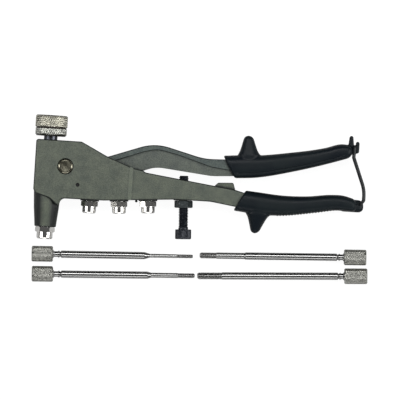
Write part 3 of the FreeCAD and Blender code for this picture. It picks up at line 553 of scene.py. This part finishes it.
def blade(rows, left, right, side):
    """Oval sections stacked up Y between a left and a right edge, with their own thickness; the first
    and the last close in a quarter round as wide as the blade's end allows, up to 3 mm."""
    y, left, right, side = np.broadcast_arrays(rows, left, right, side)
    reach = min((right[-1] - left[-1]) / 2, side[-1], 3.0)
    near = np.clip(1 - np.minimum(np.abs(y[-1] - y), np.abs(y - y[0])) / reach, 0, 0.995)
    close = np.sqrt(1 - near ** 2)
    across, out = oval(64, 3.0)
    x = ((left + right) / 2)[:, None] + ((right - left) / 2 - reach * (1 - close))[:, None] * across
    z = (side - reach * (1 - close))[:, None] * out
    return np.stack([x, np.broadcast_to(y[:, None], x.shape), z], -1)


def moulded(name, grids, voxel):
    """One closed skin over several overlapping ones, remeshed so that they flow together."""
    parts = [skin(name, grid) for grid in grids]
    with bpy.context.temp_override(active_object=parts[0], selected_editable_objects=parts):
        bpy.ops.object.join()
    whole = parts[0]
    remesh = whole.modifiers.new("remesh", "REMESH")
    remesh.mode, remesh.voxel_size = "VOXEL", voxel / 1000
    smooth = whole.modifiers.new("smooth", "SMOOTH")
    smooth.factor, smooth.iterations = 0.5, 4
    mesh = bpy.data.meshes.new_from_object(whole.evaluated_get(bpy.context.evaluated_depsgraph_get()))
    whole.modifiers.clear()
    whole.data = mesh
    return whole


def reshape(piece, change):
    """Moves a piece's points by a function of their places and normals, in mm."""
    count = len(piece.data.vertices)
    spots, normals = np.empty(3 * count), np.empty(3 * count)
    piece.data.vertices.foreach_get("co", spots)
    piece.data.vertices.foreach_get("normal", normals)
    spots, normals = 1000 * spots.reshape(-1, 3), normals.reshape(-1, 3)
    piece.data.vertices.foreach_set("co", ((spots + change(spots, normals)) / 1000).ravel())
    piece.data.update()
    piece.data.shade_smooth()


def vinyl(name):
    """Moulded vinyl with a fine spark-eroded grain, a little shinier where hands rub it."""
    made, tree, shader = finish(name, (0.008, 0.012, 0.016), 0.0, 0.42, 0.16)
    grain = pattern(tree, "TexNoise", 3200, inputs={"Detail": 2.0}).outputs[0]
    rub = pattern(tree, "TexNoise", 45, inputs={"Detail": 3.0}).outputs[0]
    tone = wire(tree, "MapRange", {"Value": rub, "From Min": 0.35, "From Max": 0.65}).outputs[0]
    tree.links.new(blend(tree, tone, (0.0072, 0.0108, 0.0150, 1), (0.0100, 0.0155, 0.0180, 1)),
                   shader.inputs["Base Color"])
    rough = wire(tree, "MapRange", {"Value": rub, "From Min": 0.3, "From Max": 0.7,
                                    "To Min": 0.32, "To Max": 0.48}).outputs[0]
    tree.links.new(rough, shader.inputs["Roughness"])
    relief(tree, shader, grain, 0.03, 0.6)
    return made


grip_vinyl = vinyl("grip_vinyl")
fixed_top = [(162.3, 50.0), (172.9, 49.2), (191.8, 47.8), (213.0, 48.4), (233.0, 50.9), (241.0, 51.0),
             (253.4, 48.1)]
fixed_bottom = [(153.2, 32.9), (165.2, 31.7), (181.6, 30.7), (196.0, 31.7), (220.0, 35.5),
                (235.9, 38.2), (253.4, 37.6)]
moving_top = [(142.2, 77.3), (154.5, 78.4), (171.0, 79.4), (195.0, 82.9), (225.4, 89.0), (238.0, 92.8),
              (247.6, 92.2)]
moving_bottom = [(152.7, 59.4), (169.8, 60.9), (200.2, 67.8), (230.6, 76.8), (247.6, 82.6)]

# Guards start deep inside their grip; their flanks are straight and flare where they leave it.
up = np.linspace(70.0, 94.9, 80)
flare = 1.7 * np.exp(-np.abs(up - 79.5) / 1.9)
upper_guard = blade(up, 154.9 + (up - 78.4) * 0.23 - 0.5 * flare, 171.2 - (up - 79.2) * 0.37 + flare,
                    np.where(up > 79, 9.6 - (up - 79) * 0.14, 9.6))
up = np.linspace(85.0, 90.0, 30)
hook_foot = blade(up[::-1], 240.0, 253.0 - 0.05 * (90 - up[::-1]) ** 2, LUG_T / 2)
up = np.linspace(86.0, 100.2, 60)
inner_prong = blade(up, 243.9 + 0.09 * (up - 92), 248.6 - 0.12 * (up - 92), LUG_T / 2 + 0.3)
up = np.linspace(86.0, 95.7, 50)
outer_prong = blade(up, 250.0, 253.1, LUG_T / 2 + 0.3)
upper_moulding = handle_moulding(moving_top, moving_bottom, GRIP_T["moving_grip"], 1.4, 4.0)

down = np.linspace(41.0, 15.4, 80)
flare = 1.9 * np.exp(-np.abs(down - 31.0) / 1.8)
lower_guard = blade(down, 164.6 + (32 - down) * 0.25 - 0.6 * flare, 182.0 - (31 - down) * 0.47 + flare,
                    np.where(down < 31, 11.0 - (31 - down) * 0.16, 11.0))
up = np.linspace(37.8, 48.0, 40)
latch_lug = blade(up, 240.0, 259.4 - 0.05 * (up - 42.4) ** 2, LUG_T / 2)
lower_moulding = handle_moulding(fixed_top, fixed_bottom, GRIP_T["fixed_grip"], 1.4, 4.0)


def seam_groove(spots, normals):
    """Sinks a line along both faces, 4 mm above the lower edge in front and 3 mm behind."""
    x, y, z = spots.T
    line = faired(x, moving_bottom) + 4.2 - 1.2 * (x - 152.7) / 94.9
    depth = SEAM_DEEP * np.exp(-((y - line) / SEAM_WIDE) ** 2) * ramp_up(np.abs(normals[:, 2]), 0.3, 0.8)
    depth *= ramp_up(x, 153.0, 156.0) * ramp_up(-x, -244.0, -236.0)
    return np.stack([0 * x, 0 * x, -np.sign(z) * depth], -1)


def finger_ribs(spots, normals):
    """Raises low ribs under the grip behind the guard, one cosine wave for each pitch."""
    x = spots[:, 0]
    held = ramp_up(-normals[:, 1], 0.35, 0.8) * ramp_up(x, 187.0, 190.0) * ramp_up(-x, -240.0, -230.0)
    rise = -RIB_HIGH * (0.5 + 0.5 * np.cos(2 * math.pi * x / RIB_PITCH)) * held
    return np.stack([0 * x, rise, 0 * x], -1)


upper_grip = moulded("grip_upper", [upper_moulding, upper_guard, hook_foot, inner_prong, outer_prong], VOXEL)
reshape(upper_grip, seam_groove)
mount(upper_grip, grip_vinyl, "lever", "grip", "moving_grip")
lower_grip = moulded("grip_lower", [lower_moulding, lower_guard, latch_lug], VOXEL)
reshape(lower_grip, finger_ribs)
mount(lower_grip, grip_vinyl, "body", "grip", "fixed_grip")


# ---- latch wire ----
# Spring wire in a black plastic coating, 2.6 mm thick with it, bent to a bail. Its two ends are sprung
# into the lug of the lower grip and its loop drops over the prongs of the upper one.
coating, coat_tree, coat_shader = finish("coated_wire", (0.010, 0.013, 0.015), 0.0, 0.36, 0.45)
coat_grain = pattern(coat_tree, "TexNoise", 1200, inputs={"Detail": 3.0}).outputs[0]
relief(coat_tree, coat_shader, coat_grain, 0.03, 0.4)
dress("latch_wire", coating)


# ---- mandrels ----
# Four loose draw rods, M3 to M6: a knurled head with a screwdriver slot, a grooved neck, a polished
# 6 mm shank and a thinner threaded end. Each lies on the bench, tilted to rest on head and tip.
HEAD_R = 6.45
NECK_R = 2.35
SHANK_R = 3.0
SLOT_W, SLOT_DEEP = 1.5, 1.5
HEAD_PITCH, HEAD_DEEP = 1.1, 0.26
FLOOR = cad_low.z * 1000
MANDRELS = {
    "m3": dict(head=17.5, neck=6.7, reach=115.0, thin=35.2, thread=13.4, pitch=0.5, r=1.6,
               at=(-9.8, -12.9), heading=2.6, roll=100),
    "m4": dict(head=17.5, neck=6.7, reach=116.4, thin=35.8, thread=14.4, pitch=0.7, r=2.1,
               at=(-8.7, -29.4), heading=2.9, roll=75),
    "m5": dict(head=18.5, neck=5.7, reach=118.5, thin=36.6, thread=14.1, pitch=0.8, r=2.6,
               at=(264.8, 1.3), heading=182.9, roll=60),
    "m6": dict(head=19.0, neck=5.3, reach=120.8, thin=36.6, thread=20.7, pitch=1.0, r=3.0,
               at=(266.6, -14.0), heading=183.5, roll=0),
}


def mandrel_head(m):
    """Grid of the head: end face, chamfer, knurled rim and back face. The slot pushes every point
    within its width down to its floor."""
    angle = np.linspace(0, 2 * math.pi, 288, endpoint=False)
    s, r = along([(0, 0.1), (0, HEAD_R - 0.8), (0.8, HEAD_R), (m["head"] - 0.8, HEAD_R),
                  (m["head"], HEAD_R - 0.8), (m["head"], NECK_R - 0.5)], 0.2).T
    rim = (r > HEAD_R - 0.01) * ramp_up(s, 0.8, 1.3) * ramp_up(-s, -m["head"] + 0.8, 1.3 - m["head"])
    cut = diamonds(s[:, None], angle, HEAD_R, HEAD_PITCH, HEAD_DEEP) * rim[:, None]
    grid = lathe(s[:, None], r[:, None] - cut, angle)
    turned = angle + math.radians(m["roll"])
    in_slot = np.abs(r[:, None] * np.sin(turned)) < SLOT_W / 2
    grid[..., 0] = np.where(in_slot, np.maximum(grid[..., 0], SLOT_DEEP), grid[..., 0])
    return grid


def mandrel_rod(m):
    """Grid of the neck, with its collar and vee groove, the shank, the taper and the thread."""
    angle = np.linspace(0, 2 * math.pi, 48, endpoint=False)
    tip = m["head"] + m["reach"]
    thin = tip - m["thin"]
    shoulder = m["head"] + m["neck"]
    taper = 3.4 * (SHANK_R - m["r"])
    s, r = along([(m["head"] - 1, NECK_R - 1), (m["head"] - 1, SHANK_R + 0.4),
                  (m["head"] + 0.3, SHANK_R + 0.4), (m["head"] + 1.0, NECK_R),
                  (shoulder - 2.6, NECK_R), (shoulder - 2.3, NECK_R + 0.5),
                  (shoulder - 1.5, NECK_R + 0.5), (shoulder - 0.7, NECK_R - 0.45),
                  (shoulder + 0.1, SHANK_R - 0.15), (shoulder + 0.4, SHANK_R),
                  (thin - taper, SHANK_R), (thin, m["r"]),
                  (tip - m["r"] * 0.4, m["r"]), (tip, m["r"] * 0.62), (tip, 0.1)],
                 m["pitch"] / 7).T
    wanted = np.ones(len(s), bool)
    wanted[(s > shoulder + 1) & (s < thin - taper - 1)] = False
    wanted[(s > thin + 1) & (s < tip - m["thread"] - 2)] = False
    s, r = s[wanted], r[wanted]
    cut = thread(s[:, None], angle, m["pitch"], tip - m["thread"], tip - 0.2) * (r > m["r"] * 0.7)[:, None]
    return lathe(s[:, None], r[:, None] - cut, angle)


def resting(grid, m):
    """Lays a mandrel on the bench: tilted so that head and tip both touch, turned to its heading."""
    tip = m["head"] + m["reach"]
    tilt = math.atan((HEAD_R - m["r"]) / (tip - m["head"] + 0.8))
    lift = (m["head"] - 0.8) * math.sin(tilt) + HEAD_R * math.cos(tilt)
    heading = math.radians(m["heading"])
    axis = (math.cos(heading) * math.cos(tilt), math.sin(heading) * math.cos(tilt), -math.sin(tilt))
    return carry(grid, (*m["at"], FLOOR + lift), axis)


def polished(name, tone, low, high):
    """Ground and polished steel with fine lines drawn along the rod and some handling haze."""
    made, tree, shader = finish(name, (tone, tone, tone * 0.98), 1.0, low)
    lines = pattern(tree, "TexNoise", 60, (1, 40, 40), inputs={"Detail": 3.0}).outputs[0]
    haze = pattern(tree, "TexNoise", 160, inputs={"Detail": 4.0}).outputs[0]
    mixed = wire(tree, "Math", {0: lines, 1: haze}, operation="MULTIPLY").outputs[0]
    rough = wire(tree, "MapRange", {"Value": mixed, "From Min": 0.1, "From Max": 0.45,
                                    "To Min": low, "To Max": high}).outputs[0]
    tree.links.new(rough, shader.inputs["Roughness"])
    dull = tone * 0.8
    tree.links.new(blend(tree, haze, (dull, dull, dull, 1), (tone, tone, tone * 0.98, 1)),
                   shader.inputs["Base Color"])
    return made


rod_steel = polished("rod_steel", 0.44, 0.12, 0.24)
head_steel = plated_knurl("head_knurl", (0.50, 0.50, 0.46), 0.0)
for size, m in MANDRELS.items():
    mount(skin(f"mandrel_{size}_head", resting(mandrel_head(m), m)), head_steel,
          "rod_" + size, "mandrel_steel", "mandrel_" + size)
    mount(skin(f"mandrel_{size}_rod", resting(mandrel_rod(m), m)), rod_steel,
          "rod_" + size, "mandrel_steel", "mandrel_" + size)
